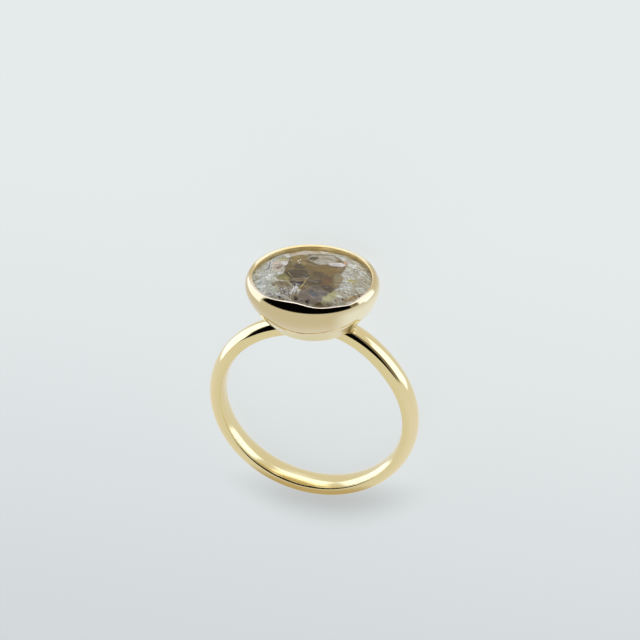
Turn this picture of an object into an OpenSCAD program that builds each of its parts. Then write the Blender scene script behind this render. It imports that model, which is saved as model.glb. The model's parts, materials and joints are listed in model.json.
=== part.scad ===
/* [Finger hole and hoop] */
// Inside diameter of the hoop, where the finger goes
finger_d = 17; // [15:0.25:20]
// Thickness of the hoop at the back of the finger
hoop_t = 1.5; // [1.3:0.1:1.8]
// Width of the hoop along the finger, at its inner edges
hoop_w = 2.42; // [2.2:0.02:2.6]
// Slope of the hoop's flanks, which lean in towards the outside
flank_slope = 12; // [8:1:14]
// Radius of the hoop's domed outside, seen in section
dome_r = 1.45; // [1.35:0.05:1.8]
// Radius of the hoop's gently domed inside, seen in section
inside_r = 2.45; // [2.3:0.05:3]

/* [Head] */
// Length of the head across the finger, at its widest line
head_l = 12.3; // [11:0.1:13.5]
// Width of the head as a share of its length
oval = 0.88; // [0.8:0.01:1]
// Height of the lip above the hoop
head_h = 4.65; // [4.5:0.05:5.2]
// Height of the widest line above the hoop
belly_h = 3.65; // [3.5:0.05:3.8]
// Height of the line where the bowl meets its foot, above the hoop
crease_h = 1.35; // [1.2:0.05:1.6]
// Radius of the rolled upper part of the bowl, seen from the side
roll_r = 1.5; // [1.4:0.05:1.6]
// Radius of the flatter lower part of the bowl, seen from the side
bowl_r = 4.5; // [4:0.1:6]
// How far the bowl's lower edge stands in from its widest line
crease_in = 1.07; // [0.9:0.01:1.2]
// How far the foot stands in from the widest line at its bottom
foot_in = 2.15; // [1.8:0.05:2.5]
// How far the foot is let into the hoop, where the two are soldered
foot_sink = 0.15; // [0.1:0.05:0.3]
// Width of the solder that fills the wedge between the foot and the hoop
solder_w = 1.8; // [1.4:0.1:2]
// Step between the bowl's lower edge and its foot
crease_step = 0.1; // [0.05:0.01:0.2]
// Thickness of the wall beside the stone
wall = 0.45; // [0.4:0.05:0.6]
// How far the lip is pressed in over the stone
lip_in = 0.2; // [0.1:0.05:0.3]
// Thickness of the closed back under the stone
back_t = 0.7; // [0.5:0.05:0.8]
// Lean of the head across the finger, as it was soldered by hand
head_lean = 1.8; // [0:0.1:3]

/* [Stone] */
// Height of the stone's girdle plane below the lip
girdle_drop = 0.6; // [0.54:0.02:0.8]
// Thickness of the girdle
girdle_t = 0.28; // [0.2:0.02:0.4]
// Height of the table above the girdle
crown_h = 0.95; // [0.85:0.05:1.2]
// Slope of the main facets above the girdle
crown_slope = 25; // [24:1:30]
// Slope of the main facets below the girdle
pavilion_slope = 27; // [24:1:29]
// Number of main facets round the stone
mains = 8; // [6:1:10]
// Gap between the stone and the metal
stone_gap = 0.06; // [0.04:0.01:0.1]

/* [Hidden] */

GOLD = [0.86, 0.74, 0.47];
SMOKY = [0.62, 0.58, 0.54];
ROUND = 96;          // segments of the hoop's circles
HEAD_ROUND = 64;     // segments round the oval head
HEAD_ARC = 36;       // steps in the head's outline: a sixth of them in each arc, half round the lip
BIG = 40;            // larger than the whole ring

finger_r = finger_d / 2;
hoop_r = finger_r + hoop_t;                 // outer radius at the back of the finger
hole_cut = 0.03;                            // depth that the finger hole cuts off the domed inside
inside_x = finger_r - hole_cut + inside_r;  // middle of the inside's arc, across the finger
edge_y = hoop_w / 2;
edge_r = inside_x - sqrt(inside_r * inside_r - edge_y * edge_y);    // radius of the inner edges

head_a = head_l / 2;
head_z = hoop_r - foot_sink;                // level of the foot's underside
lip_z = hoop_r + head_h;
belly_z = hoop_r + belly_h;
crease_z = hoop_r + crease_h;
crease_a = head_a - crease_in;
foot_a = head_a - foot_in;
solder_a = foot_a - 0.1;                    // half length of the solder
solder_z = finger_r + 0.4;                  // its lower end, inside the hoop

// The bowl's side is two arcs that run smoothly into each other. The rolled arc's centre lies on the
// level of the widest line, and the flatter arc ends at the bowl's lower edge.
roll_x = head_a - roll_r;
edge = [crease_a - roll_x, crease_z - belly_z];
arc_step = bowl_r - roll_r;
join_share = (bowl_r * bowl_r - arc_step * arc_step - edge * edge) / (2 * arc_step * norm(edge));
join_angle = asin(join_share) - atan2(edge[0], -edge[1]);
bowl_centre = [roll_x - arc_step * cos(join_angle), belly_z + arc_step * sin(join_angle)];
low_angle = asin((bowl_centre[1] - crease_z) / bowl_r);

// The stone's place in the cup
stone_a = head_a - wall - stone_gap;        // half length of the stone
girdle_z = lip_z - girdle_drop;
table_z = girdle_z + crown_h;
girdle_low_z = girdle_z - girdle_t;
seat_fall = tan(pavilion_slope);
cup_a = stone_a + stone_gap;
seat_z = girdle_low_z - stone_gap;
floor_z = head_z + back_t;
seat_in = 0.95;                             // width of the seat under the stone
star_share = 0.5;                           // where the facets beside the table end, on the way to the girdle
low_share = 0.35;                           // where the facets under the girdle end, out from the middle
floor_a = foot_a - 0.55;                    // half length of the cup's floor
lip_a = cup_a - lip_in;
bead_z = lip_z - wall / 4;
bead_out = roll_x + sqrt(roll_r * roll_r - pow(bead_z - belly_z, 2));
bead_r = (bead_out - lip_a) / 2;

// The ring lies on its side, on the hoop's inner edge and on the bowl's widest line. The tilt that
// brings both down to the same level is found in a few rounds, each from the one before.
function belly(t) = oval * roll_x * cos(t) + norm([oval * roll_r * cos(t), roll_r * sin(t)]);
function rest_tilt(t, rounds) = rounds == 0 ? t
    : rest_tilt(asin((belly(t) - edge_y * cos(t)) / (edge_r + belly_z)), rounds - 1);
tilt = rest_tilt(10, 8);
centre_up = edge_r * sin(tilt) + edge_y * cos(tilt);    // the finger hole's centre above the floor
head_reach = lip_z * cos(tilt) + oval * bead_out * sin(tilt);
back_reach = (hoop_r - dome_r) * cos(tilt) + dome_r;
centre_back = (head_reach - back_reach) / 2;            // puts the middle of the ring's box over the origin

// From the ring's own upright place to the way it lies
module lie_down() {
    translate([0, centre_back, centre_up])
        rotate([0, 0, 180])
            rotate([tilt - 90, 0, 0])
                children();
}

// The head leans about the middle of its foot
module lean() {
    translate([0, 0, head_z])
        rotate([0, -head_lean, 0])
            translate([0, 0, -head_z])
                children();
}

// The section of the hoop, across the finger to the right and along it upwards: domed outside,
// gently domed inside, with straight flanks
module hoop_section() {
    far = hoop_r + 1;
    near_y = edge_y + edge_r * tan(flank_slope);
    far_y = edge_y - (far - edge_r) * tan(flank_slope);
    intersection() {
        translate([hoop_r - dome_r, 0])
            circle(r = dome_r, $fn = ROUND);
        translate([inside_x, 0])
            circle(r = inside_r, $fn = ROUND);
        polygon([[0, -near_y], [far, -far_y], [far, far_y], [0, near_y]]);
    }
}

// The section turned round the finger, with the finger hole drilled through it
module hoop() {
    rotate([90, 0, 0])
        difference() {
            rotate_extrude($fn = ROUND)
                hoop_section();
            cylinder(r = finger_r, h = BIG, center = true, $fn = ROUND);
        }
}

// Points along an arc, after its first one
function arc(middle, r, first, last, steps) = [
    for (i = [1 : steps])
        let (t = first + (last - first) * i / steps)
            middle + r * [cos(t), sin(t)]
];

// Half of the bowl's outline, filled
module bowl_outline() {
    lip_angle = asin((bead_z - belly_z) / roll_r);
    polygon(concat(
        [[0, crease_z], [crease_a, crease_z]],
        arc(bowl_centre, bowl_r, -low_angle, -join_angle, HEAD_ARC / 6),
        arc([roll_x, belly_z], roll_r, -join_angle, lip_angle, HEAD_ARC / 6),
        [[0, bead_z]]
    ));
}

// Half of the foot's outline: it narrows from the bowl down to the hoop
module foot_outline() {
    polygon([
        [0, head_z],
        [foot_a, head_z],
        [crease_a - crease_step, crease_z],
        [0, crease_z],
    ]);
}

// Half of the hollow that takes the stone, with its sloping seat
module cup_outline() {
    polygon([
        [0, floor_z],
        [floor_a, floor_z],
        [cup_a - seat_in, seat_z - seat_in * seat_fall],
        [cup_a, seat_z],
        [cup_a, girdle_z + stone_gap],
        [lip_a, bead_z],
        [lip_a, lip_z + 1],
        [0, lip_z + 1],
    ]);
}

// The oval head: bowl, foot and rolled lip, with a closed back
module head() {
    resize([head_l, oval * head_l, 0])
        rotate_extrude($fn = HEAD_ROUND) {
            difference() {
                union() {
                    bowl_outline();
                    foot_outline();
                }
                cup_outline();
            }
            translate([lip_a + bead_r, bead_z])
                circle(r = bead_r, $fn = HEAD_ARC / 2);
        }
}

// The solder between the hoop and the foot, an oval pad
module solder() {
    translate([0, 0, solder_z])
        scale([1, solder_w / 2 / solder_a, 1])
            cylinder(r = solder_a, h = head_z + foot_sink - solder_z, $fn = ROUND);
}

// A ring of corners at one level, at every main facet or between two of them
function corners(r, z, shift) = [
    for (i = [0 : mains - 1])
        let (t = (i + shift) * 360 / mains)
            [r * cos(t), oval * r * sin(t), z]
];

// The stone's corners. Between two mains, the corners lie on the planes of both of them.
module cut_stone() {
    half = 180 / mains;
    table_r = stone_a - crown_h / tan(crown_slope);
    star_r = table_r + (stone_a - table_r) * star_share;
    star_z = table_z - (star_r * cos(half) - table_r) * tan(crown_slope);
    culet_z = girdle_low_z - stone_a * tan(pavilion_slope);
    low_r = stone_a * low_share;
    low_z = culet_z + low_r * cos(half) * tan(pavilion_slope);
    points = concat(
        corners(table_r, table_z, 0),
        corners(star_r, star_z, 0.5),
        corners(stone_a, girdle_z, 0),
        corners(stone_a, girdle_z, 0.5),
        corners(stone_a, girdle_low_z, 0),
        corners(stone_a, girdle_low_z, 0.5),
        corners(low_r, low_z, 0.5),
        [[0, 0, culet_z]]
    );
    hull()
        polyhedron(points = points, faces = [[for (i = [0 : len(points) - 1]) i]]);
}

// Hoop and head, soldered into one solid
module hoop_and_bezel() {
    color(GOLD)
        lie_down()
            union() {
                hoop();
                lean() {
                    solder();
                    head();
                }
            }
}

// The faceted oval stone in its cup
module stone() {
    color(SMOKY)
        lie_down()
            lean()
                cut_stone();
}

hoop_and_bezel();
stone();
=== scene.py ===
# %% [markdown]
# An oval bezel ring, lying on its side.
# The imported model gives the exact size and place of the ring, and this lesson builds the polished look over
# it: a turned hoop, an oval bowl with a rolled lip, a foot with its solder, and a faceted stone with golden
# needles inside. Lengths are written in millimetres, as a goldsmith would measure them, and turned into
# metres when a piece is finished.

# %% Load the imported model
import json
import math
import random

import bmesh
import bpy
from mathutils import Matrix, Vector


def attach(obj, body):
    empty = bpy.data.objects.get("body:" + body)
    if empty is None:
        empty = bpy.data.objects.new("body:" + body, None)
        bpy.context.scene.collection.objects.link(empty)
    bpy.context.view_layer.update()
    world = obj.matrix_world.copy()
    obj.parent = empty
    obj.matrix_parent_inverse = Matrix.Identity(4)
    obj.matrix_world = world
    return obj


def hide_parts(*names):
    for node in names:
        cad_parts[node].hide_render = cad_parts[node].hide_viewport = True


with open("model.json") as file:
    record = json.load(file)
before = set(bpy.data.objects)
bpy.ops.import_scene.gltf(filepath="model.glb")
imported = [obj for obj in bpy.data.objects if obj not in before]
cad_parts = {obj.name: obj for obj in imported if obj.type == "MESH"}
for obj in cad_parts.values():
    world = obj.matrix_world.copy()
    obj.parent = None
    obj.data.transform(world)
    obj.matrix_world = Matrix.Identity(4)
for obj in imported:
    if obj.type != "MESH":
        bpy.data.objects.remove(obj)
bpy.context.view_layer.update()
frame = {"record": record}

# %% [markdown]
# The ring is easier to build standing up: x across the finger, y along it and z up to the head. The packed
# record states where the finger hole is and which way it points. From that comes the one matrix that lays
# every finished piece down on its side, with the ring's own x axis flat along the floor.

# %% Find how the ring lies
finger_hole = frame["record"]["mounts"][0]
along = Vector(finger_hole["axis"]).normalized()
if along.z < 0:
    along.negate()
centre = Vector(finger_hole["pos_m"])
ACROSS, FRONT, UP = Vector((1, 0, 0)), Vector((0, -1, 0)), Vector((0, 0, 1))
side = -ACROSS
up_to_head = side.cross(-along)
turn_down = Matrix((side, -along, up_to_head)).transposed().to_4x4()
LIE_DOWN = Matrix.Translation(centre) @ turn_down @ Matrix.Scale(0.001, 4)
print("finger hole centre, mm:", [round(v * 1000, 3) for v in centre], "axis", [round(v, 4) for v in along])
print("the head points to", [round(v, 3) for v in up_to_head])

# %% [markdown]
# A camera that looks at the standing ring from above the front right keeps that same view when the ring is
# laid down, if it is moved by the same matrix. A long lens from 300 mm away keeps the hoop nearly free of
# perspective, as product photographers like it.

# %% Set up the camera
VIEW_TURN, VIEW_DROP, VIEW_FAR = math.radians(15.3), math.radians(37.4), 300.0
AIM_RIGHT, AIM_UP = 0.574, 7.944
SENSOR, LENS = 36, 182.25
NEAREST, FARTHEST = 0.01, 10

ahead = math.cos(VIEW_DROP)
looking = Vector((-math.sin(VIEW_TURN) * ahead, math.cos(VIEW_TURN) * ahead, -math.sin(VIEW_DROP)))
right = looking.cross(UP).normalized()
upward = right.cross(looking)
aim = AIM_RIGHT * right + AIM_UP * upward
eye = -VIEW_FAR * looking

to_world = LIE_DOWN.to_3x3().normalized()
lens_dir = (to_world @ (aim - eye)).normalized()
lens_right = lens_dir.cross(to_world @ upward).normalized()
lens_up = lens_right.cross(lens_dir)
camera = bpy.data.objects.new("camera", bpy.data.cameras.new("camera"))
camera.data.sensor_width = SENSOR
camera.data.lens = LENS
camera.data.clip_start = NEAREST
camera.data.clip_end = FARTHEST
lens_turn = Matrix((lens_right, lens_up, -lens_dir)).transposed().to_4x4()
camera.matrix_world = Matrix.Translation(LIE_DOWN @ eye) @ lens_turn
bpy.context.scene.collection.objects.link(camera)
bpy.context.scene.camera = camera
print("camera at, mm:", [round(v * 1000, 1) for v in camera.location])

# %% [markdown]
# Every finish is a small graph of shader nodes. Written by hand that takes many lines, so one class wraps a
# node's output and lets plain arithmetic add the Math nodes, and another adds any other node in one call.

# %% Helpers for finishes
class Value:
    """A number that changes over a surface. Arithmetic on it adds Math nodes."""

    def __init__(self, bench, socket):
        self.bench, self.socket = bench, socket

    def math(self, operation, a, b):
        return self.bench.node("ShaderNodeMath", {"operation": operation}, {0: a, 1: b})

    def __add__(self, other):
        return self.math("ADD", self, other)

    def __radd__(self, other):
        return self.math("ADD", other, self)

    def __sub__(self, other):
        return self.math("SUBTRACT", self, other)

    def __rsub__(self, other):
        return self.math("SUBTRACT", other, self)

    def __mul__(self, other):
        return self.math("MULTIPLY", self, other)

    def __rmul__(self, other):
        return self.math("MULTIPLY", other, self)

    def over(self, edge, soft):
        """0 below the edge and 1 above it, with a soft step."""
        return self.bench.node(
            "ShaderNodeMapRange", {"interpolation_type": "SMOOTHSTEP", "clamp": True},
            {"Value": self, "From Min": edge - soft, "From Max": edge + soft},
        )

    def under(self, edge, soft):
        """1 below the edge and 0 above it."""
        return 1 - self.over(edge, soft)

    def between(self, low, high, soft):
        """1 between two edges and 0 beyond them."""
        return self.over(low, soft) * self.under(high, soft)


class Bench:
    """The node tree of one finish."""

    def __init__(self, tree):
        self.tree = tree
        self.tree.nodes.clear()

    def node(self, kind, settings=None, sockets=None, output=0):
        """Adds a node. Its settings come first, then the values or links of its sockets."""
        made = self.tree.nodes.new(kind)
        for name, value in (settings or {}).items():
            setattr(made, name, value)
        for name, value in (sockets or {}).items():
            if isinstance(value, Value):
                self.tree.links.new(value.socket, made.inputs[name])
            else:
                made.inputs[name].default_value = value
        return Value(self, made.outputs[output]) if made.outputs else None

    def mix(self, share, a, b):
        """Goes from colour a to colour b."""
        return self.node("ShaderNodeMix", {"data_type": "RGBA"}, {0: share, 6: a, 7: b}, output=2)

    def noise(self, place, scale, detail, output=0):
        """A soft random value at each place, or with output 1 three of them, as a colour."""
        sockets = {"Vector": place, "Scale": scale, "Detail": detail}
        return self.node("ShaderNodeTexNoise", {}, sockets, output)

    def cells(self, place, scale, output=0):
        """How far each place is from the middle of its cell, or with output 1 the cell's own colour."""
        return self.node("ShaderNodeTexVoronoi", {}, {"Vector": place, "Scale": scale}, output)

    def vector(self, operation, *parts, output=0):
        return self.node("ShaderNodeVectorMath", {"operation": operation}, dict(enumerate(parts)), output)

    def stretched(self, place, turn, scale):
        """Places that are turned and scaled, so that a texture on them runs one way."""
        return self.node("ShaderNodeMapping", {}, {"Vector": place, "Rotation": turn, "Scale": scale})

    def along(self, place, direction):
        """How far a place lies in one direction."""
        return self.vector("DOT_PRODUCT", place, tuple(direction), output=1)

    def reach(self, place, scale=(1, 1, 1)):
        """How far a place is from the middle, when its three parts are first scaled."""
        return self.vector("LENGTH", self.vector("MULTIPLY", place, scale), output=1)

    def place(self):
        """The place on the object, in metres."""
        return self.node("ShaderNodeTexCoord", output=3)

    def spot(self, matrix):
        """The place in a piece's own frame, in millimetres, from the object's coordinates."""
        place = self.place()
        parts = [self.along(place, row[:3]) + row[3] for row in matrix[:3]]
        return self.node("ShaderNodeCombineXYZ", {}, dict(enumerate(parts)))

    def surface(self, sockets):
        """Ends the tree in one Principled surface."""
        made = self.node("ShaderNodeBsdfPrincipled", {}, sockets)
        self.node("ShaderNodeOutputMaterial", {}, {"Surface": made})


def rgb(red, green, blue):
    return (red, green, blue, 1.0)


def new_finish(name):
    made = bpy.data.materials.new(name)
    made.use_nodes = True
    return made, Bench(made.node_tree)


print("helpers ready")

# %% [markdown]
# Polished gold is a mirror, so its look is mostly what stands around it. Here the ring stood in a light
# tent: pale walls and a bright ceiling, bright soft boxes at the left, at the right and high at the back,
# and the dark front of the tent where the lens looks in. A dim gap parts that front from the right box,
# whose lower edge steps down on its far side. The world shader draws all this by compass angle and height,
# in degrees, in the ring's own axes. Each zone covers the ones before it.

# %% Build the light tent
BOX_LIGHT, CEILING_LIGHT = rgb(1.5, 1.75, 2.3), rgb(1.6, 1.58, 1.5)
LOW_WALL, HIGH_WALL = rgb(0.84, 0.86, 0.87), rgb(0.84, 0.84, 0.83)
DARK_FRONT, DIM_GAP, LENS_BACKDROP = rgb(0.002, 0.002, 0.002), rgb(0.26, 0.23, 0.18), rgb(0.80, 0.84, 0.84)
WALL_LEVEL, CEILING_LEVEL = 10, 57
NOT_BACK_SIDES, BACK_LEVELS = (-128, 140), (43, 64)
FRONT_SIDES, FRONT_LEVELS = (-72, 71), (6, 76)
LEFT_SIDES, LEFT_LEVELS = (-131, -74), (-13, 42)
GAP_SIDES, GAP_LEVELS = (71, 86), (6, 60)
RIGHT_SIDES, RIGHT_LOW, RIGHT_HIGH = (86, 130), 6, 38
STEP_SIDE, STEP_DOWN = 98, 10

world = bpy.data.worlds.new("light_tent")
bpy.context.scene.world = world
world.use_nodes = True
tent = Bench(world.node_tree)
ray = tent.node("ShaderNodeTexCoord", output=0)
ray_across, ray_front, ray_up = (tent.along(ray, to_world @ way) for way in (ACROSS, FRONT, UP))
compass = ray_across.math("ARCTAN2", ray_across, ray_front) * math.degrees(1)
height = ray_up.math("ARCSINE", ray_up, 0) * math.degrees(1)

light = tent.mix(height.over(WALL_LEVEL, 10), LOW_WALL, HIGH_WALL)
light = tent.mix(height.over(CEILING_LEVEL, 3), light, CEILING_LIGHT)
back = 1 - compass.between(*NOT_BACK_SIDES, 5)
light = tent.mix(back * height.between(*BACK_LEVELS, 3), light, BOX_LIGHT)
light = tent.mix(compass.between(*FRONT_SIDES, 3) * height.between(*FRONT_LEVELS, 3), light, DARK_FRONT)
light = tent.mix(compass.between(*LEFT_SIDES, 2) * height.between(*LEFT_LEVELS, 3), light, BOX_LIGHT)
light = tent.mix(compass.between(*GAP_SIDES, 3) * height.between(*GAP_LEVELS, 4), light, DIM_GAP)
stepped = height + STEP_DOWN * compass.over(STEP_SIDE, 4)
right_levels = stepped.over(RIGHT_LOW, 3) * height.under(RIGHT_HIGH, 3)
light = tent.mix(compass.between(*RIGHT_SIDES, 3) * right_levels, light, BOX_LIGHT)
seen_by_lens = tent.node("ShaderNodeLightPath", output=0)
light = tent.mix(seen_by_lens, light, LENS_BACKDROP)
background = tent.node("ShaderNodeBackground", {}, {"Color": light, "Strength": 1.0})
tent.node("ShaderNodeOutputWorld", {}, {"Surface": background})
bpy.context.scene.view_settings.view_transform = "Standard"
print("light tent ready")

# %% [markdown]
# The floor is one pale sheet that grows a little darker behind the hoop. The big lamp over it throws only a
# weak shadow, so a soft dark patch at the back of the hoop stands for the one that grounds the ring. The
# gold doesn't mirror the sheet: the tent is turned as if the ring stood upright, so a sheet beside the ring
# would draw a false band on the metal. Places on the sheet are in millimetres, and the sizes of the sheet
# and the lamp in metres.

# %% Lay the floor
PALE_SHEET, DARK_SHEET = rgb(0.935, 0.985, 0.985), rgb(0.77, 0.81, 0.83)
GLOW, LIT_SHARE = 0.745, 0.18
SHADOW_TONE, SHADOW_SHARE = rgb(0.14, 0.11, 0.06), 0.46
DARKENS_AT, DARKENS_SOFT = 12, 32
SHADOW_FROM, SHADOW_TO, SHADOW_FADES = (9.6, 0.8), (12.2, 2.7), (10, 2)
SHEET_HALF, LAMP_SIZE, LAMP_POWER, LAMP_AT = 3.0, 0.5, 0.3, (0.1, 0.25, 0.5)

sheet = bmesh.new()
bmesh.ops.create_grid(sheet, x_segments=1, y_segments=1, size=SHEET_HALF)
floor_mesh = bpy.data.meshes.new("floor")
sheet.to_mesh(floor_mesh)
sheet.free()
floor = bpy.data.objects.new("floor", floor_mesh)
bpy.context.scene.collection.objects.link(floor)

paper, bench = new_finish("pale_paper")
in_mm = bench.vector("MULTIPLY", bench.place(), (1000, 1000, 0))
from_hole = bench.vector("SUBTRACT", in_mm, (1000 * centre.x, 1000 * centre.y, 0))
off_hole = bench.reach(from_hole)
at_back = bench.along(from_hole, (-0.1, 1, 0)).over(*SHADOW_FADES)
shadow = off_hole.over(*SHADOW_FROM) * off_hole.under(*SHADOW_TO) * at_back
darkens = bench.along(in_mm, (0, 1, 0)).over(DARKENS_AT, DARKENS_SOFT)
shade = bench.mix(darkens, PALE_SHEET, DARK_SHEET)
shade = bench.mix(shadow * SHADOW_SHARE, shade, SHADOW_TONE)
bench.surface({
    "Base Color": bench.mix(LIT_SHARE, rgb(0, 0, 0), shade), "Roughness": 1.0, "Specular IOR Level": 0.0,
    "Emission Color": shade, "Emission Strength": GLOW,
})
floor_mesh.materials.append(paper)

overhead = bpy.data.objects.new("overhead", bpy.data.lights.new("overhead", "AREA"))
overhead.data.size = LAMP_SIZE
overhead.data.energy = LAMP_POWER
overhead.location = LAMP_AT
overhead.rotation_euler = overhead.location.to_track_quat("Z", "Y").to_euler()
bpy.context.scene.collection.objects.link(overhead)
for unmirrored in (floor, overhead):
    unmirrored.visible_glossy = False
    unmirrored.visible_transmission = False
print("floor and overhead light ready")

# %% [markdown]
# Gold of this colour is a little pale. Hand polishing leaves it almost a mirror, with very fine marks that
# only soften the highlights. Colour, roughness and a very weak bump all vary with the place on the metal.
# Where the real metal mirrored more than the tent holds, a tint on that part of the piece stands for it as
# painted light.
# The head's main sizes are named here, as its finish needs them: in names, A is half a length across, R a
# radius and Z a level.

# %% Mix the gold finish
RING_PLACE = LIE_DOWN.inverted()
OVAL, HEAD_A, CREASE_A = 0.88, 6.15, 5.08
HEAD_Z, CREASE_Z, BELLY_Z, LIP_Z = 9.85, 11.35, 13.65, 14.65
CREASE_DROP, CREASE_SLANT = 0.1, 0.1
HEAD_LEAN = math.radians(1.8)
to_foot = Matrix.Translation((0, 0, HEAD_Z))
LEAN = to_foot @ Matrix.Rotation(-HEAD_LEAN, 4, "Y") @ to_foot.inverted()
HEAD_PLACE = (LIE_DOWN @ LEAN).inverted()
DOME_SHEEN, FLANK_SHADE, BOTTOM_SHADE = rgb(0.89, 0.75, 0.45), rgb(0.42, 0.29, 0.12), rgb(0.56, 0.38, 0.12)
UPPER_REFLECTION, LOWER_REFLECTION, RIGHT_SHEEN = rgb(0.62, 0.50, 0.27), rgb(0.77, 0.64, 0.40), rgb(0.92, 0.84, 0.60)
LIP_WALL_REFLECTION, LIP_HIGHLIGHT = rgb(0.98, 0.76, 0.38), rgb(0.95, 0.80, 0.63)
CREASE_SHADE, DEEPER_RIGHT = rgb(0.46, 0.37, 0.13), rgb(0.55, 0.42, 0.18)
CLOUD_SCALE, FINE_SCALE, MARKS_SCALE, MARKS_TURN = 260, 5200, (900, 900, 9000), (0.6, 0.4, 0.2)


def gold_finish(name, tint, rough, marks, coat, change):
    """Gold of one tint. The function change alters its colour and roughness over the piece."""
    made, bench = new_finish(name)
    place = bench.place()
    cloud = bench.noise(place, CLOUD_SCALE, 3)
    fine = bench.noise(place, FINE_SCALE, 2)
    polish = bench.noise(bench.stretched(place, MARKS_TURN, MARKS_SCALE), 1.0, 3)
    deeper = (c * s for c, s in zip(tint, (0.97, 0.94, 0.88)))
    colour = bench.mix(cloud, rgb(*tint), rgb(*deeper))
    colour, roughness = change(bench, colour, rough + 0.03 * polish + 0.02 * cloud)
    bump = {"Height": polish * 0.6 + fine * 0.4, "Strength": marks, "Distance": 0.00001}
    bench.surface({
        "Base Color": colour, "Metallic": 1.0, "Roughness": roughness,
        "Normal": bench.node("ShaderNodeBump", {}, bump),
        "Coat Weight": coat, "Coat Roughness": 0.05, "Coat IOR": 1.5,
    })
    return made


def hoop_change(bench, colour, roughness):
    """A painted sheen on the dome beside the finger, painted shade on the flank at the back of it, and a
    softer polish inside.
    """
    spot = bench.spot(RING_PLACE)
    reach, level = bench.reach(spot, (1, 0, 1)), bench.along(spot, UP)
    low = level.under(-8.0, 1.0) * reach.over(8.9, 0.15)
    dome = reach.over(9.3, 0.3) * level.under(4, 3) * level.over(-7, 2)
    # Painted sheen on the outer dome, and painted shade low on the hoop, where it mirrors the dark ground
    # near the floor
    colour = bench.mix(dome * 0.7, colour, DOME_SHEEN)
    colour = bench.mix(low * reach.over(9.2, 0.5), colour, FLANK_SHADE)
    colour = bench.mix(low, colour, BOTTOM_SHADE)
    return colour, roughness + 0.11 * reach.under(8.85, 0.1)


def crease_level(bench, spot):
    """Height over the slanting line between bowl and foot, in millimetres."""
    return bench.along(spot, (-CREASE_SLANT, 0, 1)) - (CREASE_Z - CREASE_DROP)


def bowl_change(bench, colour, roughness):
    """Painted reflections, a painted highlight and painted shade on the bowl, and a duller wall inside the
    lip.
    """
    spot = bench.spot(HEAD_PLACE)
    level = crease_level(bench, spot)
    across, front = bench.along(spot, ACROSS), bench.along(spot, FRONT)
    facing_up = bench.along(bench.node("ShaderNodeNewGeometry", output=1), to_world @ UP)
    lip_wall = bench.reach(spot, (1, 1 / OVAL, 0)).under(5.52, 0.02) * front.under(0, 1)
    lip_top = facing_up.over(0.8, 0.08) * front.over(1.5, 1)
    right_side = across.over(3.7, 0.9) * level.under(2.3, 0.5) * level.over(0.4, 0.4)
    # Painted reflections: darker higher up, paler on the lower part, and a pale sheen on the lower right side
    upper = bench.mix(0.5, colour, UPPER_REFLECTION)
    colour = bench.mix(level.over(1.1, 0.9), LOWER_REFLECTION, upper)
    colour = bench.mix(right_side, colour, RIGHT_SHEEN)
    # The wall inside the lip is duller, and its tint is a painted reflection
    colour = bench.mix(lip_wall, colour, LIP_WALL_REFLECTION)
    # A rosy painted highlight along the top of the lip in front
    colour = bench.mix(lip_top, colour, LIP_HIGHLIGHT)
    # Painted shade in the crease at the foot, as a dark line
    return bench.mix(level.over(0.05, 0.02), CREASE_SHADE, colour), roughness + 0.5 * lip_wall


def foot_change(bench, colour, roughness):
    """Painted shade in a line at the top of the foot, and deeper gold on its right side."""
    spot = bench.spot(HEAD_PLACE)
    colour = bench.mix(bench.along(spot, ACROSS).over(3.5, 0.3), colour, DEEPER_RIGHT)
    # Painted shade in the crease at the top of the foot
    return bench.mix(crease_level(bench, spot).over(-0.05, 0.02), colour, CREASE_SHADE), roughness


GOLD = gold_finish("polished_gold", (0.815, 0.685, 0.37), 0.03, 0.012, 0.3, hoop_change)
BOWL_GOLD = gold_finish("bowl_gold", (0.73, 0.60, 0.35), 0.03, 0.02, 0.2, bowl_change)
FOOT_GOLD = gold_finish("foot_gold", (0.88, 0.80, 0.54), 0.34, 0.04, 0.0, foot_change)
print("gold ready")

# %% [markdown]
# Each piece is shaped in a bmesh, standing and in millimetres. One helper closes its seams, lays it down,
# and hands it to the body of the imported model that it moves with.

# %% Helpers for pieces
WELD, NEAR = 0.0005, 0.01
HOOP_STEPS, HEAD_STEPS = 256, 192


def sweep(shape, start, middle, degrees, steps, axis):
    """Turns one vertex about a point, which draws an arc, and returns the last vertex."""
    made = bmesh.ops.spin(
        shape, geom=[start], cent=middle, axis=axis, dvec=(0, 0, 0), angle=math.radians(degrees),
        steps=steps, use_merge=False, use_normal_flip=False, use_duplicate=False,
    )
    return next(g for g in made["geom_last"] if isinstance(g, bmesh.types.BMVert))


def revolve(shape, axis, steps):
    """Turns the whole outline once round an axis through the middle."""
    bmesh.ops.spin(
        shape, geom=shape.verts[:] + shape.edges[:], cent=(0, 0, 0), axis=axis, dvec=(0, 0, 0),
        angle=2 * math.pi, steps=steps, use_merge=True, use_normal_flip=False, use_duplicate=False,
    )


def weld(shape):
    """Joins the points that lie on one another."""
    bmesh.ops.remove_doubles(shape, verts=shape.verts, dist=WELD)


def edges_round(shape, axis, radius, level):
    """The edges that run round an axis at one radius, at one distance from the middle to either side."""
    def fits(place):
        up = place.dot(axis)
        return abs((place - up * axis).length - radius) < NEAR and abs(abs(up) - level) < NEAR

    return [e for e in shape.edges if all(fits(v.co) for v in e.verts)]


def round_off(shape, edges, offset, segments):
    """Rounds the edges, starting as far from each as the offset says."""
    bmesh.ops.bevel(
        shape, geom=edges, offset=offset, offset_type="OFFSET", segments=segments, profile=0.5,
        affect="EDGES", clamp_overlap=True, material=-1,
    )


def smooth_step(value, low, high):
    """0 up to low and 1 from high on, with a soft rise between them."""
    share = min(max((value - low) / (high - low), 0.0), 1.0)
    return share * share * (3 - 2 * share)


def bump_between(value, low, low_end, high, high_end):
    """Rises from 0 to 1 over the first two values, and falls back to 0 over the last two."""
    return smooth_step(value, low, low_end) * (1 - smooth_step(value, high, high_end))


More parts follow.
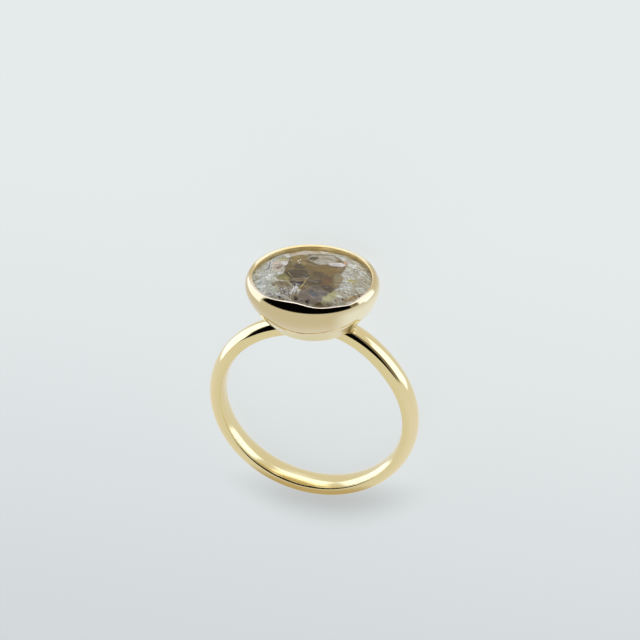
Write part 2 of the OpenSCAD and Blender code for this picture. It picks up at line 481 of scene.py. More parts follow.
def finish_piece(shape, name, finish, node, smooth=True):
    """Lays a shape down, gives it its finish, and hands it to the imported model."""
    weld(shape)
    bmesh.ops.recalc_face_normals(shape, faces=shape.faces)
    bmesh.ops.transform(shape, matrix=LIE_DOWN, verts=shape.verts)
    for face in shape.faces:
        face.smooth = smooth
    mesh = bpy.data.meshes.new(name)
    shape.to_mesh(mesh)
    shape.free()
    mesh.materials.append(finish)
    made = bpy.data.objects.new(name, mesh)
    bpy.context.scene.collection.objects.link(made)
    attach(made, "root")
    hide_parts(node)
    print(name, "faces", len(mesh.polygons))


print("piece helpers ready")

# %% [markdown]
# The hoop is drawn wire bent round and soldered. Its section is domed outside and gently domed inside, with
# flat flanks that lean in. Two arcs and two lines draw the section, one full turn makes the hoop, and the
# four long edges are then rounded, as a polishing mop leaves them. The finger hole is reamed to size. Last,
# the right shoulder is raised where it meets the foot, and the left one's front edge is worn a little.

# %% Turn the hoop
FINGER_R, HOOP_R, DOME_R, INSIDE_R = 8.5, 10.0, 1.45, 2.45
EDGE_Y, FLANK, REAMED = 1.21, math.radians(12), 0.03
OUTER_SOFT, INNER_SOFT = 0.09, 0.14
# Each in millimetres, and the degrees from the head where it rises and falls, positive to the right
RAISED, RAISED_SIDES = 0.6, (-3, 16, 6, 58)
WORN, WORN_SIDES, WORN_FROM_Y = 0.1, (-48, -32, -15, -5), 0.5
inside_x = FINGER_R - REAMED + INSIDE_R
edge_r = inside_x - math.sqrt(INSIDE_R**2 - EDGE_Y**2)
dome_x = HOOP_R - DOME_R
flank_far = (edge_r - dome_x) * math.sin(FLANK) + EDGE_Y * math.cos(FLANK)
dome_turn = math.pi / 2 - FLANK - math.acos(flank_far / DOME_R)
corner = Vector((dome_x + DOME_R * math.cos(dome_turn), DOME_R * math.sin(dome_turn), 0))
inner_turn = math.atan2(EDGE_Y, inside_x - edge_r)

hoop = bmesh.new()
first = hoop.verts.new((corner.x, -corner.y, 0))
last = sweep(hoop, first, (dome_x, 0, 0), 2 * math.degrees(dome_turn), 22, UP)
inner = hoop.verts.new((edge_r, EDGE_Y, 0))
inner_last = sweep(hoop, inner, (inside_x, 0, 0), 2 * math.degrees(inner_turn), 12, UP)
flanks = [hoop.edges.new((last, inner)), hoop.edges.new((inner_last, first))]
bmesh.ops.subdivide_edges(hoop, edges=flanks, cuts=3)
revolve(hoop, -FRONT, HOOP_STEPS)


def set_reach(vert, reach, wanted):
    """Moves a point straight out from the finger's axis, or in, to the wanted distance."""
    vert.co.x *= wanted / reach
    vert.co.z *= wanted / reach


round_off(hoop, edges_round(hoop, FRONT, corner.x, corner.y), OUTER_SOFT, 6)
round_off(hoop, edges_round(hoop, FRONT, edge_r, EDGE_Y), INNER_SOFT, 7)
for vert in hoop.verts:
    reach = math.hypot(vert.co.x, vert.co.z)
    if reach < FINGER_R:
        set_reach(vert, reach, FINGER_R)
for vert in hoop.verts:
    x, y, z = vert.co
    reach, turn = math.hypot(x, z), math.degrees(math.atan2(x, z))
    raised = RAISED * bump_between(turn, *RAISED_SIDES)
    worn = WORN * bump_between(turn, *WORN_SIDES) * smooth_step(-y, WORN_FROM_Y, corner.y)
    if reach <= edge_r + 0.2:
        worn = 0.0
    set_reach(vert, reach, reach + raised - worn)
finish_piece(hoop, "hoop", GOLD, "hoop_and_bezel")

# %% [markdown]
# The head is a round bowl in its outline, pressed oval: it is turned first and then narrowed across the
# hoop. It leans 1.8 degrees, as it was soldered by hand. The line where it meets its foot isn't level
# either. At the front the setter's pusher rolled the lip further over the stone than it did elsewhere.

# %% Place and hand work of the head
PRESS_OVAL = Matrix.Diagonal((1, OVAL, 1, 1))
ROLL_R = 1.5
ROLL_X = HEAD_A - ROLL_R
LIP_TURN = math.degrees(math.asin((LIP_Z - BELLY_Z) / ROLL_R))
SLANT_TOP, FOOT_TAPER, FOOT_CORE = 12.7, 0.68, 3
LIP_FROM_R, ROLL_FROM = 5.2, 12
LAND_TOP, LAND_R, LAND_LIFT = 14.4, 5.75, 0.4
PUSHED, PUSHED_AT, PUSHED_LEFT, PUSHED_RIGHT = 17.4, -0.08, 0.43, 0.30
SPARED, SPARED_AT, SPARED_SPREAD = 5.6, 0.77, 0.12


def hill(place, top, spread):
    """1 at the top and softly less to both sides."""
    return math.exp(-((place - top) / spread) ** 2)


def push_over(across, front):
    """How far the setter's pusher rolled the lip on, in degrees, most near the middle of the front."""
    spread = PUSHED_LEFT if across < PUSHED_AT else PUSHED_RIGHT
    rolled = PUSHED * hill(across, PUSHED_AT, spread) - SPARED * hill(across, SPARED_AT, SPARED_SPREAD)
    return rolled * smooth_step(front, 0.0, 0.3)


def hand_work(shape):
    """Tilts the line between bowl and foot, and rolls the lip over at the front, on the round shape."""
    for vert in shape.verts:
        x, y, z = vert.co
        reach = math.hypot(x, y)
        if reach < 1e-6:
            continue
        across, front = x / reach, max(0.0, -y / reach)
        below = max(0.0, (z - HEAD_Z) / (CREASE_Z - HEAD_Z))
        near_crease = 1 - smooth_step(z, CREASE_Z, SLANT_TOP) if z > CREASE_Z else below
        rise = (CREASE_SLANT * CREASE_A * across - CREASE_DROP) * near_crease
        out = reach + (FOOT_TAPER * rise if reach > FOOT_CORE else 0.0)
        lift = 0.0
        if z > BELLY_Z and reach > LIP_FROM_R:
            # The lower edge of the lip, next to the stone, is lifted less than its top
            lifted = LAND_LIFT if z < LAND_TOP and reach < LAND_R else 1.0
            angle = math.degrees(math.atan2(z - BELLY_Z, reach - ROLL_X))
            here = math.radians(min(angle, LIP_TURN))
            pushed = push_over(across, front) * smooth_step(angle, ROLL_FROM, LIP_TURN)
            there = here + math.radians(pushed)
            out += ROLL_R * (math.cos(there) - math.cos(here))
            lift = ROLL_R * (math.sin(there) - math.sin(here)) * lifted
        vert.co = (x * out / reach, y * out / reach, z + rise + lift)


def finish_head_piece(shape, name, finish, node, smooth=True, press=PRESS_OVAL):
    """Presses a piece of the head oval, leans it with the head, and finishes it."""
    bmesh.ops.transform(shape, matrix=LEAN @ press, verts=shape.verts)
    finish_piece(shape, name, finish, node, smooth)


print("the head leans", round(math.degrees(HEAD_LEAN), 1), "degrees about the level", HEAD_Z, "mm")

# %% [markdown]
# The bowl's side is two arcs that run smoothly into each other, a flat one below and a tight one above. Its
# lip ends in a narrow land, and inside it the wall drops to the stone's girdle, the seat and the floor.

# %% Turn the bowl
BOWL_R = 4.5
LIP_A, LIP_LOW = 5.45, 14.56
LIP_SOFT, LAND_SOFT, CREASE_SOFT = 0.06, 0.05, 0.04
WALL_DOWN = [
    (LIP_A, LIP_LOW), (5.43, 14.13), (5.66, 14.09), (5.70, 13.7), (4.75, 13.2), (3.45, 10.55), (0, 10.55),
]
UNDER = [(0, 10.15), (3.7, 10.15), (4.86, 11.3)]
UP_FROM_X = (0, -1, 0)
edge_x, edge_z = CREASE_A - ROLL_X, CREASE_Z - BELLY_Z
arc_step = BOWL_R - ROLL_R
chord = math.hypot(edge_x, edge_z)
join_share = (BOWL_R**2 - arc_step**2 - chord**2) / (2 * arc_step * chord)
join = math.asin(join_share) - math.atan2(edge_x, -edge_z)
bowl_x, bowl_z = ROLL_X - arc_step * math.cos(join), BELLY_Z + arc_step * math.sin(join)
low_turn = math.asin((bowl_z - CREASE_Z) / BOWL_R)
lip_out = ROLL_X + ROLL_R * math.cos(math.radians(LIP_TURN))

bowl = bmesh.new()
crease = bowl.verts.new((CREASE_A, 0, CREASE_Z))
at_join = sweep(bowl, crease, (bowl_x, 0, bowl_z), math.degrees(low_turn - join), 22, UP_FROM_X)
outline_end = sweep(bowl, at_join, (ROLL_X, 0, BELLY_Z), math.degrees(join) + LIP_TURN, 20, UP_FROM_X)
for x, z in WALL_DOWN + UNDER:
    following = bowl.verts.new((x, 0, z))
    bowl.edges.new((outline_end, following))
    outline_end = following
bowl.edges.new((outline_end, crease))
revolve(bowl, UP, HEAD_STEPS)
weld(bowl)
round_off(bowl, edges_round(bowl, UP, lip_out, LIP_Z), LIP_SOFT, 5)
round_off(bowl, edges_round(bowl, UP, LIP_A, LIP_LOW), LAND_SOFT, 3)
round_off(bowl, edges_round(bowl, UP, CREASE_A, CREASE_Z), CREASE_SOFT, 3)
hand_work(bowl)
finish_head_piece(bowl, "bowl", BOWL_GOLD, "hoop_and_bezel")

# %% [markdown]
# The foot tapers from the bowl to the hoop. It is a short turned cone with soft edges, a hair smaller than
# the bowl's lower edge, so that a fine line shows between the two.

# %% Turn the foot
FOOT_TOP_A, FOOT_A, FOOT_SOFT = 4.97, 3.86, 0.2
FOOT_HOLLOW = [(0, HEAD_Z), (0, 10.1), (3.5, 10.1), (4.8, 11.33)]

foot = bmesh.new()
outline = [(FOOT_TOP_A, CREASE_Z), (FOOT_A, HEAD_Z)] + FOOT_HOLLOW
corners = [foot.verts.new((x, 0, z)) for x, z in outline]
for here, there in zip(corners, corners[1:] + corners[:1]):
    foot.edges.new((here, there))
side_line = next(e for e in foot.edges if set(e.verts) == {corners[0], corners[1]})
bmesh.ops.subdivide_edges(foot, edges=[side_line], cuts=6)
revolve(foot, UP, HEAD_STEPS)
weld(foot)
round_off(foot, edges_round(foot, UP, FOOT_A, HEAD_Z), FOOT_SOFT, 6)
hand_work(foot)
finish_head_piece(foot, "foot", FOOT_GOLD, "hoop_and_bezel")

# %% [markdown]
# Solder has run between the foot and the domed hoop and filled the wedge there. An oval pad that ends
# inside both stands for it.

# %% Add the solder
SOLDER_A, SOLDER_B, SOLDER_TALL, SOLDER_Z = 3.9, 0.9, 1.2, 9.5

solder = bmesh.new()
bmesh.ops.create_cone(
    solder, cap_ends=True, cap_tris=False, segments=96, radius1=SOLDER_A, radius2=SOLDER_A, depth=SOLDER_TALL,
    matrix=Matrix.Diagonal((1, SOLDER_B / SOLDER_A, 1, 1)) @ Matrix.Translation((0, 0, SOLDER_Z)),
)
bmesh.ops.transform(solder, matrix=LEAN, verts=solder.verts)
finish_piece(solder, "solder", FOOT_GOLD, "hoop_and_bezel")

# %% [markdown]
# The stone is oval, with a table, eight main facets above and eight below. Its corners stand on circles, so
# each circle is made, pressed oval and lifted to its level, and the hull round them all is the cut stone.
# Such a stone is clear only in its skin. So there are two bodies of the same cut: a glassy one outside, and
# a smaller cloudy one inside it, with room between them for the needles that lie near the surface.

# %% Cut the stone and its cloudy core
STONE_A, GIRDLE_Z, TABLE_Z, GIRDLE_LOW = 5.64, 14.05, 15.0, 13.77
CROWN, PAVILION = math.tan(math.radians(25)), math.tan(math.radians(27))
MAINS, LOW_SHARE, CULET_R = 8, 0.35, 0.002
HALF = math.pi / MAINS
FULL_SIZE, CORE_SIZE = (1, 1, 1), (0.99, 0.99, 0.77)
table_r = STONE_A - (TABLE_Z - GIRDLE_Z) / CROWN
star_r = (table_r + STONE_A) / 2
star_z = TABLE_Z - (star_r * math.cos(HALF) - table_r) * CROWN
culet_z = GIRDLE_LOW - STONE_A * PAVILION
low_r = LOW_SHARE * STONE_A
low_z = culet_z + low_r * math.cos(HALF) * PAVILION
FACET_CIRCLES = [
    (table_r, TABLE_Z, MAINS, 0), (star_r, star_z, MAINS, HALF), (STONE_A, GIRDLE_Z, 2 * MAINS, 0),
    (STONE_A, GIRDLE_LOW, 2 * MAINS, 0), (low_r, low_z, MAINS, HALF), (CULET_R, culet_z, MAINS, 0),
]


def cut_stone(size):
    """The hull round all the circles of corners, scaled about the middle of the girdle."""
    shape = bmesh.new()
    for radius, level, count, turn in FACET_CIRCLES:
        # create_circle starts on the y axis, so a quarter turn brings its first corner onto the x axis
        bmesh.ops.create_circle(
            shape, cap_ends=False, segments=count, radius=radius,
            matrix=Matrix.Translation((0, 0, level)) @ Matrix.Rotation(turn + math.pi / 2, 4, "Z"),
        )
    bmesh.ops.convex_hull(shape, input=shape.verts[:], use_existing_faces=False)
    bmesh.ops.delete(shape, geom=[e for e in shape.edges if not e.link_faces], context="EDGES")
    bmesh.ops.dissolve_limit(
        shape, angle_limit=math.radians(0.5), verts=shape.verts[:], edges=shape.edges[:],
        use_dissolve_boundaries=False,
    )
    about = Matrix.Translation((0, 0, GIRDLE_Z))
    resize = about @ Matrix.Diagonal((*size, 1)) @ about.inverted()
    bmesh.ops.transform(shape, matrix=resize, verts=shape.verts)
    return shape


print("table half length, mm:", round(table_r, 2), "low point at", round(culet_z, 2))

# %% [markdown]
# The skin is clear glass with a very fine polish. The core carries what shows inside: frosty grey ends full
# of tiny specks, a smoky brown window in the middle with soft bands across it, and the flat tones of facets
# that mirror each other, which are painted reflections and glints over the stone's own colours. Each facet
# has a name, a tone, and a convex outline in millimetres on the head.
# Later ones lie over earlier ones, and a little noise bends their edges.

# %% Name the facets that show in the stone
FACETS = [
    ("window", (114, 94, 42), [
        (-0.4, -2.7), (2.4, -2.5), (2.8, -1.5), (2.7, 2.2), (1.1, 3.4), (-2.1, 2.7), (-2.7, 2.1),
        (-2.6, -0.7),
    ]),
    ("upper olive", (134, 114, 58), [(-1.1, 2.8), (-2.1, 2.7), (-2.7, 2.1), (-2.2, 1.1), (-0.9, 1.1)]),
    ("back strip", (188, 174, 150), [(-0.4, 4.6), (-2.9, 3.4), (-2.5, 2.4), (0, 3.3)]),
    ("back flash", (252, 248, 230), [(-0.5, 4.5), (0, 3.3), (0.4, 4), (0.3, 4.7)]),
    ("left sky", (194, 204, 208), [(-3.2, 2.2), (-3.6, 3.6), (-4.2, 3.1), (-4.6, 2.4), (-4, 1.6)]),
    ("left olive", (160, 152, 112), [(-3.2, 2.5), (-4, 1.8), (-3.4, 1.4), (-2.7, 1.6), (-2.7, 2.1)]),
    ("left glint", (250, 250, 246), [(-2.8, 2.9), (-3.6, 3.4), (-3, 2.1), (-2.7, 2.1)]),
    ("grey lens", (170, 160, 140), [(-1.2, 2.2), (0.3, 1.5), (1.5, 2), (1.7, 2.6), (1.1, 3.2), (-0.8, 2.9)]),
    ("lens light", (184, 178, 164), [(-0.5, 1.8), (0.2, 1.7), (1.2, 2.1), (1.5, 2.5), (0.3, 2.3)]),
    ("lens dark", (86, 76, 42), [(-1.1, 2.1), (-0.7, 2.1), (-0.2, 2.3), (-0.1, 2.7), (-0.7, 2.6)]),
    ("pink white", (224, 218, 218), [(1, 1.9), (1.4, 1.5), (2.4, 1.7), (2.6, 2), (2.1, 2.3)]),
    ("orange tip", (196, 154, 112), [(2.2, 2.5), (2.5, 2), (2.7, 2.5), (2.4, 2.8)]),
    ("tan band", (126, 100, 40), [(1.9, 0.3), (2.6, 1), (2.3, 1.4), (-0.9, 1.2), (-0.5, 0.5)]),
    ("dusky", (84, 64, 28), [(-1, 0.5), (-0.8, 0.9), (-1.4, 1.3), (-2, 1.1), (-1.7, 0.5)]),
    ("olive brown", (76, 58, 22), [(-2.5, -0.3), (-1.9, -1.3), (0.1, -0.7), (-0.7, 0.4), (-2.1, 0.3)]),
    ("soft dark", (94, 72, 32), [(0, 0.3), (0.2, -0.4), (1, -0.4), (1.5, 0.1), (0.8, 0.5)]),
    ("light streak", (124, 102, 60), [(0.2, -1), (-0.1, -0.8), (-2, -1.4), (-1.6, -1.6), (-0.4, -1.3)]),
    ("dark band", (36, 20, 4), [(-0.3, -2.1), (0, -1.6), (-0.5, -1.3), (-1.8, -1.6), (-1.1, -2.2)]),
    ("dull middle", (82, 62, 26), [(1.5, -1.3), (1, -0.4), (-0.2, -1.1), (-0.1, -1.8), (0.5, -1.8)]),
    ("amber", (110, 76, 24), [(2.1, -1.7), (2, -0.2), (1.4, -0.1), (1, -0.6), (1.3, -1.5)]),
    ("under amber", (66, 48, 18), [(2.3, -2.4), (2.5, -1.8), (2.1, -1.5), (1.2, -1.5), (1.7, -2.2)]),
    ("grey tan", (138, 124, 90), [(2.9, -1.6), (3, -0.3), (2.6, 0.7), (1.9, 0.4), (2.5, -1.6)]),
    ("lavender", (108, 92, 74), [
        (-0.4, -2.9), (-0.5, -4), (1.6, -4), (2.3, -3.6), (2.4, -2.8), (1.3, -1.8), (0.6, -1.7),
    ]),
    ("lavender pale", (104, 92, 76), [(1.8, -3.1), (2.3, -2.9), (1.3, -1.9), (0.6, -1.9), (1.1, -2.5)]),
    ("bluish", (76, 72, 70), [(0.6, -2.5), (0.5, -3), (1, -3.3), (1.5, -3), (1.1, -2.5)]),
    ("kite", (188, 178, 160), [(-2.7, 1.5), (-4, 1.3), (-4, 0.3), (-3.5, -0.5), (-2.9, -0.3)]),
    ("kite middle", (168, 152, 138), [(-3.1, -0.1), (-2.8, 0.6), (-3.1, 0.9), (-3.7, 0.8), (-3.5, -0.2)]),
    ("kite dark", (126, 114, 96), [(-3, 0.7), (-3.4, 0.3), (-3.2, 0), (-2.9, 0.4)]),
    ("kite blush", (222, 198, 174), [(-3.4, 1.3), (-4, 1.2), (-3.9, 0.9), (-3.3, 0.9)]),
    ("kite glint", (216, 210, 208), [(-2.7, 1.4), (-3.3, 1.2), (-3, 0.8), (-2.7, 0.6), (-2.6, 0.8)]),
    ("blue line", (92, 96, 98), [(-4.3, 1.4), (-4.2, 0.2), (-4, 0.1), (-4.2, 1.3)]),
    ("green beige", (136, 126, 70), [(-2.5, -0.5), (-3.1, -1.1), (-2.7, -1.5), (-1.9, -1.6), (-1.8, -1.1)]),
    ("needle field", (116, 98, 54), [(-3.2, -1.9), (-2.6, -3.1), (-0.4, -4), (-0.5, -3), (-1.8, -1.6)]),
    ("green grey", (162, 162, 142), [(-2.3, -3.2), (-2.2, -2.8), (-2.6, -2.3), (-3.2, -2.4), (-2.9, -3)]),
    ("yellow green", (170, 168, 128), [(3, -2.3), (2.6, -2.2), (1.8, -3.2), (1.8, -3.8), (2.4, -3.7)]),
    ("pale right", (184, 182, 170), [(3.5, 0.4), (3.1, 1.4), (2.7, 1.1), (2.6, 0.4), (3.1, -0.2)]),
    ("front white", (160, 150, 128), [(2.7, -3.1), (3, -3.5), (3.8, -2.9), (3.9, -2.3), (3.1, -2.6)]),
    ("brown rim", (152, 126, 84), [(3.6, -2.8), (3.7, -3), (4.3, -2.5), (5, -1.2), (4.8, -1.2)]),
]

print(len(FACETS), "facets named")

# %% [markdown]
# The frost is made of layers, each with its share of the surface and its tone: pale and dull patches, long
# and short splinters, grain, and flecks, the bright ones partly painted glints. The facets go over the frost.
# Over them come a little more grain, a painted shadow under the front of the lip, and a few bright splinters.

# %% Mix the stone's finishes
def tone(red, green, blue):
    """A colour as it looks on a screen, from 0 to 255, as the light that a shader works with."""
    return rgb(*(((c / 255 + 0.055) / 1.055) ** 2.4 for c in (red, green, blue)))


def inside(bench, spot, outline, soft):
    """1 inside a convex outline, counted against the clock, and 0 outside it."""
    mask = None
    for (x0, y0), (x1, y1) in zip(outline, outline[1:] + outline[:1]):
        far = math.hypot(x1 - x0, y1 - y0)
        a, b = (y0 - y1) / far, (x1 - x0) / far
        edge = bench.along(spot, (a, b, 0)).over(a * x0 + b * y0, soft)
        mask = edge if mask is None else mask * edge
    return mask


DRIFT, WOBBLE, FACET_SOFT, STREAK_DARKER, STREAK_LIGHTER = 0.3, 0.22, 0.07, 0.88, 1.1

cloudy, bench = new_finish("cloudy_core")
spot = bench.spot(HEAD_PLACE)
# Each noise value is about a half, so half of both shifts is taken off again
bent = bench.vector("MULTIPLY_ADD", bench.noise(spot, 1.3, 2, output=1), (DRIFT, DRIFT, 0), spot)
bent = bench.vector("MULTIPLY_ADD", bench.noise(spot, 6.0, 2, output=1), (WOBBLE, WOBBLE, 0), bent)
bent = bench.vector("SUBTRACT", bent, ((DRIFT + WOBBLE) / 2, (DRIFT + WOBBLE) / 2, 0))


def shards(scale, turn, stretch):
    """A random value from 0 to 1 for each small splinter-shaped cell."""
    turned = bench.stretched(bent, (0, 0, turn), (scale * stretch, scale, 1.0))
    return bench.along(bench.cells(turned, 1.0, output=1), (1, 0, 0))


def layered(colour, layers):
    """Lays each tone over the colour, by its share."""
    for share, shade in layers:
        colour = bench.mix(share, colour, tone(*shade))
    return colour


splinters, chips = shards(4.5, 0.5, 0.45), shards(3.4, -0.7, 0.7)
grain = bench.noise(spot, 6.0, 3).over(0.52, 0.12)
patches = bench.noise(spot, 0.75, 1)
colour = bench.mix(bench.along(spot, ACROSS).over(0, 3), tone(196, 197, 186), tone(184, 176, 152))
colour = layered(colour, [
    (patches.over(0.55, 0.06) * 0.5, (216, 218, 212)),
    (patches.under(0.43, 0.06) * 0.45, (150, 142, 116)),
    (chips.over(0.5, 0.3) * 0.45, (156, 152, 132)),
    (splinters.over(0.8, 0.1) * 0.8, (214, 216, 212)),
    (splinters.under(0.18, 0.08) * 0.55, (118, 110, 90)),
    (grain * 0.3, (140, 134, 112)),
    # Bright flecks, partly painted glints
    (bench.cells(spot, 2.7).under(0.16, 0.05) * 0.8, (234, 236, 234)),
    (bench.cells(bent, 2.3).under(0.14, 0.05) * 0.6, (96, 88, 68)),
])

streaky = bench.noise(bench.stretched(bent, (0, 0, 0.12), (0.8, 3.4, 1.0)), 1.0, 3).over(0.5, 0.2)
# The facets' tones: painted reflections and glints over the stone's own colours
for _, shade, outline in FACETS:
    darker, lighter = (STREAK_DARKER * c for c in shade), (min(255, STREAK_LIGHTER * c) for c in shade)
    filled = bench.mix(streaky, tone(*darker), tone(*lighter))
    colour = bench.mix(inside(bench, bent, outline, FACET_SOFT), colour, filled)

# Painted shadow under the front of the lip, speckled
lip_shadow = bench.reach(bent, (1, 1 / OVAL, 0)).over(4.45, 0.25) * bench.along(bent, FRONT).over(3.3, 0.35)
colour = layered(colour, [
    (grain * 0.12, (56, 42, 22)),
    (lip_shadow * (0.45 + 0.4 * chips.over(0.5, 0.1)), (92, 76, 44)),
    (splinters.over(0.9, 0.05) * 0.08, (236, 232, 224)),
])
# The core glows a little in its own colours: painted light for light scattered inside the stone
bench.surface({
    "Base Color": colour, "Roughness": 0.35 + 0.2 * grain, "Specular IOR Level": 0.1,
    "Emission Color": colour, "Emission Strength": 0.5,
})

clear, bench = new_finish("clear_skin")
polish = bench.noise(bench.place(), 3000, 2)
bench.surface({
    "Base Color": bench.mix(polish, rgb(0.97, 0.97, 0.95), rgb(0.95, 0.94, 0.91)),
    "Roughness": 0.005 + 0.01 * polish, "IOR": 1.54, "Specular IOR Level": 0.12, "Transmission Weight": 1.0,
})
finish_head_piece(cut_stone(FULL_SIZE), "stone", clear, "stone", smooth=False)
finish_head_piece(cut_stone(CORE_SIZE), "stone_core", cloudy, "stone", smooth=False)

# %% [markdown]
# Fine needles of a golden mineral run through the stone, and pale ones fan out from one spot near the front.
# A few short bright ones there are painted highlights, white and glowing, for needles that catch the light,
# and thin dark ones mark cracks. Each is a tapered rod with six sides, laid between the core and the skin
# from one place to another; every one glows a little in its own colour, as painted light. The main ones have
# their place, and a seeded random choice adds the many fine ones round them.

# %% Lay the needles
# Each needle runs from its first two numbers, across and along the finger, to its last two
GOLD_NEEDLES = [
    (-0.45, -2.5, -0.15, -0.5), (-0.35, -2.25, -0.2, -1.25), (-2.05, -1.45, -1.15, -2.45),
    (-2.3, -1.1, -1.45, -1.85), (-2.15, -0.3, -1.35, -1.2), (-2.4, -2.45, -1.5, -2.75),
    (1.8, -3.6, 2.55, -2.25), (2.05, -3.55, 2.9, -2.15), (1.8, -3.2, 2.45, -2.5),
    (-2.85, -2.15, -2, -3.25), (-2.1, -2.15, -1.5, -2.8), (2.4, -2.75, 3, -1.9),
]
PALE_NEEDLES = [
    (-0.85, -3.35, -0.7, -1.75), (-1.25, -2.45, -0.4, -2.95), (-0.95, -1.8, -0.7, -3.35),
    (-1.05, -2.95, -0.55, -2.15), (-1.55, -3.55, -1.35, -2.15), (-2.25, -3, -1.45, -2.5),
    (-1.95, -3.45, -1.75, -2.4), (-1.2, -3.7, -1.55, -2.75), (-1.9, -2.65, -0.8, -3.65),
    (-2.4, -3.45, -1.85, -2.75), (-1.5, -1.3, -0.6, -0.85), (-0.45, -1.05, 0.05, -0.5),
    (-4.3, 1.25, -2.8, 1.4), (-3.85, -0.1, -3.15, -0.45), (-3.15, -0.45, -2.75, 0.45),
    (-2.2, -3.85, -1.85, -3.1), (-1, -3.9, -1, -3.15), (-2.9, -2.75, -2.5, -2.1),
]
STAR_NEEDLES = [
    (-1.1, -3.35, -0.8, -1.8), (-1.2, -3.2, -0.9, -2.35), (-0.6, -2.4, -1.3, -2.85),
    (-0.85, -2.9, -1.15, -2.25),
]
DARK_NEEDLES = [
    (-4.15, 0.2, -4.3, 1.45), (-2.5, -2.1, -1.45, -2.2), (-1.4, -3.1, -0.8, -3.8),
    (-1.9, -2.9, -1.2, -3.75), (-0.8, 2.2, -0.15, 2.6), (-0.55, 1.9, 0.05, 2.45),
]
AS_LAID = Matrix.Identity(4)
MAIN_DEPTH, FINE_DEPTH, FINE_SHARE, DIP = 0.09, 0.13, 0.6, 0.05
NEST_X, NEST_Y, NEST_EDGE, HALF_LENGTHS = (-1.4, 0.9), (-2.3, 0.6), 4.8, (0.12, 0.4)
pick = random.Random(11)


def top_of_stone(x, y):
    """Height of the stone's top at a place: the table, or the slope of the facets beside it."""
    return min(TABLE_Z, TABLE_Z - (math.hypot(x, y / OVAL) - table_r) * CROWN)


def lay_needle(shape, x0, y0, x1, y1, thick, depth):
    """A rod under the stone's top, thinner and a little deeper at its far end."""
    start = Vector((x0, y0, top_of_stone(x0, y0) - depth))
    end = Vector((x1, y1, top_of_stone(x1, y1) - depth - DIP))
    turn = (end - start).to_track_quat("Z", "Y").to_matrix().to_4x4()
    bmesh.ops.create_cone(
        shape, cap_ends=True, cap_tris=False, segments=6, radius1=thick / 2, radius2=thick / 5,
        depth=(end - start).length, matrix=Matrix.Translation((start + end) / 2) @ turn,
    )


# Every rod and block glows a little in its own colour: painted light for the light it catches in the stone
def rod_finish(name, shade, rough):
    made, bench = new_finish(name)
    streak = bench.noise(bench.place(), 4000, 2)
    darker = (0.85 * c for c in shade)
    colour = bench.mix(streak, tone(*shade), tone(*darker))
    bench.surface({
        "Base Color": colour, "Roughness": rough + 0.1 * streak, "Specular IOR Level": 0.15,
        "Emission Color": colour, "Emission Strength": 0.4,
    })
    return made


# Name, placed needles, colour, thickness, and how many fine ones are added
NEEDLE_SETS = [
    ("needles_gold", GOLD_NEEDLES, (214, 196, 116), 0.055, 14),
    ("needles_pale", PALE_NEEDLES, (222, 220, 212), 0.045, 16),
    ("needles_star", STAR_NEEDLES, (246, 246, 250), 0.065, 0),
    ("needles_dark", DARK_NEEDLES, (44, 36, 22), 0.05, 10),
]
for name, placed, shade, thick, fine_count in NEEDLE_SETS:
    rods = bmesh.new()
    for ends in placed:
        lay_needle(rods, *ends, thick, MAIN_DEPTH)
    for _ in range(fine_count):
        x, y = pick.gauss(*NEST_X), pick.gauss(*NEST_Y)
        turn, half = pick.uniform(0, math.pi), pick.uniform(*HALF_LENGTHS)
        over, up = half * math.cos(turn), half * math.sin(turn)
        if math.hypot(x, y / OVAL) < NEST_EDGE:
            lay_needle(rods, x - over, y - up, x + over, y + up, FINE_SHARE * thick, FINE_DEPTH)
    finish = rod_finish(name, shade, 0.3)
    finish_head_piece(rods, name, finish, "stone", smooth=False, press=AS_LAID)
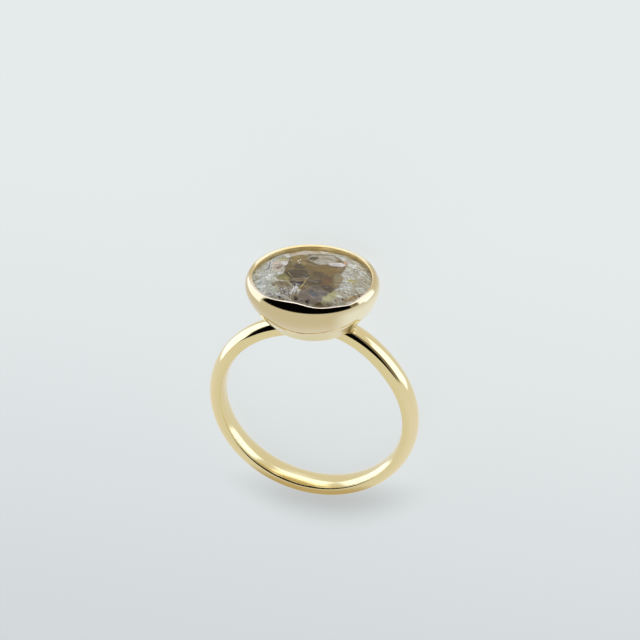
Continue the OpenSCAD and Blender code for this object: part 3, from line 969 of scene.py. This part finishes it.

# %% [markdown]
# Small crystals show as dots: a yellow group at the right, dark square ones along the front, and white ones
# that glint, which are painted glints: white and glowing. Each is a small tilted block with its place and
# size.
# Many more, finer still, lie in the frosty parts: both ends of the stone, and its front left. The fine white
# ones are painted glints that make those parts sparkle.

# %% Sprinkle the small crystals
# Colour, placed blocks with their size, and how many fine ones are added
CRYSTALS = {
    "crystals_dark": ((46, 25, 6), [
        (-0.5, -3.65, 0.55), (0.65, -3.8, 0.55), (-1.95, -3.6, 0.4), (0.05, -3.85, 0.15), (-0.2, 2.55, 0.2),
        (-0.75, 2.3, 0.2), (-0.4, 2.05, 0.15), (4.8, -1.65, 0.2), (3.55, -2.65, 0.2), (4.55, 2.1, 0.2),
    ], 60),
    "crystals_yellow": ((205, 190, 40), [
        (3.5, -0.35, 0.2), (3.65, -0.2, 0.25), (3.9, -0.15, 0.2), (3.65, -0.55, 0.2), (3.9, -0.5, 0.15),
    ], 14),
    "crystals_white": ((246, 248, 250), [
        (-3.7, -0.95, 0.4), (-1.75, 1.65, 0.2), (-1.6, 1.85, 0.15), (-1.55, 1.35, 0.15), (3, 2.35, 0.25),
        (3.3, 1.85, 0.2), (3.15, 1.35, 0.2), (3.1, 3.35, 0.2), (3.65, 1.55, 0.15), (2.85, 3.35, 0.15),
        (-0.85, -2.35, 0.2), (-0.8, -2.95, 0.2), (-2.85, 1, 0.2),
    ], 150),
}
SPRINKLED, END_X, FRONT_LEFT = 5.1, 2.8, (-0.9, -2.6)
FINE_SIZES, FLATTER, TILT, BLOCK = (0.04, 0.12), (0.5, 1), 0.5, 0.8
ROOM_SPARE, ROOM_FILLED, ROOM_DEPTH = 0.02, 0.8, 0.55


def frosty(x, y):
    """Whether a place is in one of the stone's frosty parts."""
    return abs(x) > END_X or (x < FRONT_LEFT[0] and y < FRONT_LEFT[1])


for name, (shade, placed, fine_count) in CRYSTALS.items():
    blocks = list(placed)
    while len(blocks) < len(placed) + fine_count:
        reach, turn = SPRINKLED * math.sqrt(pick.random()), pick.uniform(0, 2 * math.pi)
        x, y = reach * math.cos(turn), OVAL * reach * math.sin(turn)
        if frosty(x, y):
            blocks.append((x, y, pick.uniform(*FINE_SIZES)))
    dots = bmesh.new()
    for x, y, size in blocks:
        turned = Matrix.Rotation(pick.uniform(0, math.pi), 4, "Z")
        tilted = Matrix.Rotation(pick.uniform(0, TILT), 4, "X")
        # The room between the core and the skin, which the block has to fit in
        room = (1 - CORE_SIZE[2]) * (top_of_stone(x, y) - GIRDLE_Z) + ROOM_SPARE
        flat = Matrix.Diagonal((size, size * pick.uniform(*FLATTER), min(size, ROOM_FILLED * room), 1))
        place = Matrix.Translation((x, y, top_of_stone(x, y) - ROOM_DEPTH * room))
        bmesh.ops.create_cube(dots, size=BLOCK, matrix=place @ turned @ tilted @ flat)
    finish = rod_finish(name, shade, 0.25)
    finish_head_piece(dots, name, finish, "stone", smooth=False, press=AS_LAID)
